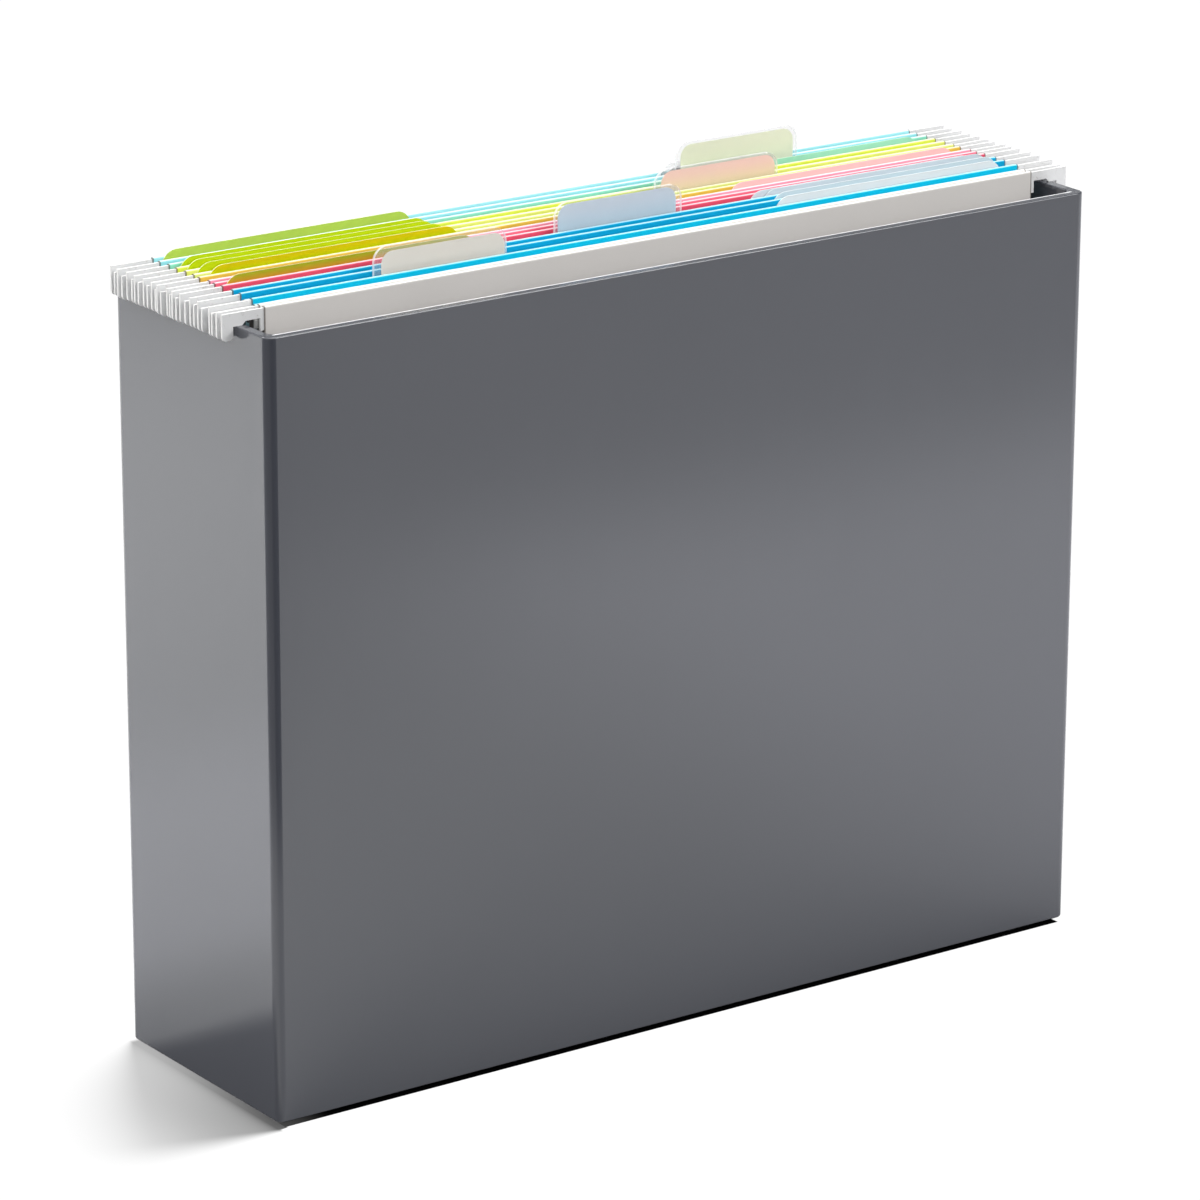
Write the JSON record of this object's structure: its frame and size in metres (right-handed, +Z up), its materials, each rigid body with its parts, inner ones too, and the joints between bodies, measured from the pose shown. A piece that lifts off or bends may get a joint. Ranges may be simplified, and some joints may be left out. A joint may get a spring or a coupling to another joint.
{
  "type": "file box",
  "caption": "Slim open-topped desktop file box, packed with hanging folders that hook over its end walls and hold tabbed loose folders and index tabs.",
  "frame": {"origin": "middle of the footprint, on the surface that the feet stand on", "axes": "+X along the width to the right seen from the front, +Y from the front to the back, +Z up"},
  "size_m": [0.3291, 0.089, 0.2716],
  "materials": {
    "shell_plastic": "dark grey, polished",
    "foot_rubber": "matt",
    "rail_steel": "white enamel, satin",
    "tab_plastic": "clear, glossy",
    "label_paper": "matt",
    "sheet_white": "smooth card",
    "sheet_cyan": "smooth card, coloured inside",
    "sheet_blue": "smooth card, coloured inside",
    "sheet_red": "smooth card, coloured inside",
    "sheet_pink": "smooth card, coloured inside",
    "sheet_pale_pink": "smooth card, coloured inside",
    "sheet_orange": "smooth card, coloured inside",
    "sheet_yellow": "smooth card, coloured inside",
    "sheet_lime": "smooth card, coloured inside",
    "sheet_green": "smooth card, coloured inside",
    "sheet_aqua": "smooth card, coloured inside",
    "loose_grey": "smooth heavy paper",
    "loose_blue_grey": "smooth heavy paper",
    "loose_olive": "smooth heavy paper",
    "loose_pink": "smooth heavy paper",
    "loose_gold": "smooth heavy paper",
    "loose_lime": "smooth heavy paper",
    "loose_green": "smooth heavy paper"
  },
  "bodies": {
    "box": {"box_shell": "shell_plastic", "box_feet": "foot_rubber"},
    "folder_01": {"hanging_folder_01": "sheet_white", "hanging_rails_01": "rail_steel"},
    "folder_02": {"hanging_folder_02": "sheet_cyan", "hanging_rails_02": "rail_steel"},
    "folder_03": {"hanging_folder_03": "sheet_blue", "hanging_rails_03": "rail_steel", "index_tab_03": "tab_plastic", "tab_label_03": "label_paper"},
    "folder_04": {"hanging_folder_04": "sheet_blue", "hanging_rails_04": "rail_steel"},
    "folder_05": {"hanging_folder_05": "sheet_red", "hanging_rails_05": "rail_steel", "index_tab_05": "tab_plastic", "tab_label_05": "label_paper"},
    "folder_06": {"hanging_folder_06": "sheet_pink", "hanging_rails_06": "rail_steel"},
    "folder_07": {"hanging_folder_07": "sheet_pale_pink", "hanging_rails_07": "rail_steel"},
    "folder_08": {"hanging_folder_08": "sheet_orange", "hanging_rails_08": "rail_steel"},
    "folder_09": {"hanging_folder_09": "sheet_yellow", "hanging_rails_09": "rail_steel"},
    "folder_10": {"hanging_folder_10": "sheet_yellow", "hanging_rails_10": "rail_steel", "index_tab_10": "tab_plastic", "tab_label_10": "label_paper"},
    "folder_11": {"hanging_folder_11": "sheet_lime", "hanging_rails_11": "rail_steel"},
    "folder_12": {"hanging_folder_12": "sheet_green", "hanging_rails_12": "rail_steel"},
    "folder_13": {"hanging_folder_13": "sheet_aqua", "hanging_rails_13": "rail_steel", "index_tab_13": "tab_plastic", "tab_label_13": "label_paper"},
    "folder_14": {"hanging_folder_14": "sheet_aqua", "hanging_rails_14": "rail_steel", "index_tab_14": "tab_plastic", "tab_label_14": "label_paper"},
    "loose_03": {"loose_folder_03": "loose_grey"},
    "loose_04": {"loose_folder_04": "loose_blue_grey"},
    "loose_05a": {"loose_folder_05a": "loose_blue_grey"},
    "loose_05b": {"loose_folder_05b": "loose_blue_grey"},
    "loose_06": {"loose_folder_06": "loose_olive"},
    "loose_08": {"loose_folder_08": "loose_pink"},
    "loose_09": {"loose_folder_09": "loose_gold"},
    "loose_10": {"loose_folder_10": "loose_lime"},
    "loose_11": {"loose_folder_11": "loose_lime"},
    "loose_12a": {"loose_folder_12a": "loose_lime"},
    "loose_12b": {"loose_folder_12b": "loose_lime"},
    "loose_14": {"loose_folder_14": "loose_green"}
  },
  "joints": [
    {"name": "slide_folder_01", "type": "slide", "parent": "box", "child": "folder_01", "axis": [0, -1, 0], "range_m": [-0.001, 0.013]},
    {"name": "lift_folder_02", "type": "slide", "parent": "box", "child": "folder_02", "axis": [0, 0, 1], "range_m": [0, 0.25]},
    {"name": "lift_folder_03", "type": "slide", "parent": "box", "child": "folder_03", "axis": [0, 0, 1], "range_m": [0, 0.25]},
    {"name": "lift_folder_04", "type": "slide", "parent": "box", "child": "folder_04", "axis": [0, 0, 1], "range_m": [0, 0.25]},
    {"name": "lift_folder_05", "type": "slide", "parent": "box", "child": "folder_05", "axis": [0, 0, 1], "range_m": [0, 0.25]},
    {"name": "lift_folder_06", "type": "slide", "parent": "box", "child": "folder_06", "axis": [0, 0, 1], "range_m": [0, 0.25]},
    {"name": "lift_folder_07", "type": "slide", "parent": "box", "child": "folder_07", "axis": [0, 0, 1], "range_m": [0, 0.25]},
    {"name": "lift_folder_08", "type": "slide", "parent": "box", "child": "folder_08", "axis": [0, 0, 1], "range_m": [0, 0.25]},
    {"name": "lift_folder_09", "type": "slide", "parent": "box", "child": "folder_09", "axis": [0, 0, 1], "range_m": [0, 0.25]},
    {"name": "lift_folder_10", "type": "slide", "parent": "box", "child": "folder_10", "axis": [0, 0, 1], "range_m": [0, 0.25]},
    {"name": "lift_folder_11", "type": "slide", "parent": "box", "child": "folder_11", "axis": [0, 0, 1], "range_m": [0, 0.25]},
    {"name": "lift_folder_12", "type": "slide", "parent": "box", "child": "folder_12", "axis": [0, 0, 1], "range_m": [0, 0.25]},
    {"name": "lift_folder_13", "type": "slide", "parent": "box", "child": "folder_13", "axis": [0, 0, 1], "range_m": [0, 0.25]},
    {"name": "lift_folder_14", "type": "slide", "parent": "box", "child": "folder_14", "axis": [0, 0, 1], "range_m": [0, 0.25]},
    {"name": "lift_loose_03", "type": "slide", "parent": "folder_03", "child": "loose_03", "axis": [0, 0, 1], "range_m": [0, 0.245]},
    {"name": "lift_loose_04", "type": "slide", "parent": "folder_04", "child": "loose_04", "axis": [0, 0, 1], "range_m": [0, 0.245]},
    {"name": "lift_loose_05a", "type": "slide", "parent": "folder_05", "child": "loose_05a", "axis": [0, 0, 1], "range_m": [0, 0.245]},
    {"name": "lift_loose_05b", "type": "slide", "parent": "folder_05", "child": "loose_05b", "axis": [0, 0, 1], "range_m": [0, 0.245]},
    {"name": "lift_loose_06", "type": "slide", "parent": "folder_06", "child": "loose_06", "axis": [0, 0, 1], "range_m": [0, 0.245]},
    {"name": "lift_loose_08", "type": "slide", "parent": "folder_08", "child": "loose_08", "axis": [0, 0, 1], "range_m": [0, 0.245]},
    {"name": "lift_loose_09", "type": "slide", "parent": "folder_09", "child": "loose_09", "axis": [0, 0, 1], "range_m": [0, 0.245]},
    {"name": "lift_loose_10", "type": "slide", "parent": "folder_10", "child": "loose_10", "axis": [0, 0, 1], "range_m": [0, 0.245]},
    {"name": "lift_loose_11", "type": "slide", "parent": "folder_11", "child": "loose_11", "axis": [0, 0, 1], "range_m": [0, 0.245]},
    {"name": "lift_loose_12a", "type": "slide", "parent": "folder_12", "child": "loose_12a", "axis": [0, 0, 1], "range_m": [0, 0.245]},
    {"name": "lift_loose_12b", "type": "slide", "parent": "folder_12", "child": "loose_12b", "axis": [0, 0, 1], "range_m": [0, 0.245]},
    {"name": "lift_loose_14", "type": "slide", "parent": "folder_14", "child": "loose_14", "axis": [0, 0, 1], "range_m": [0, 0.245]}
  ]
}
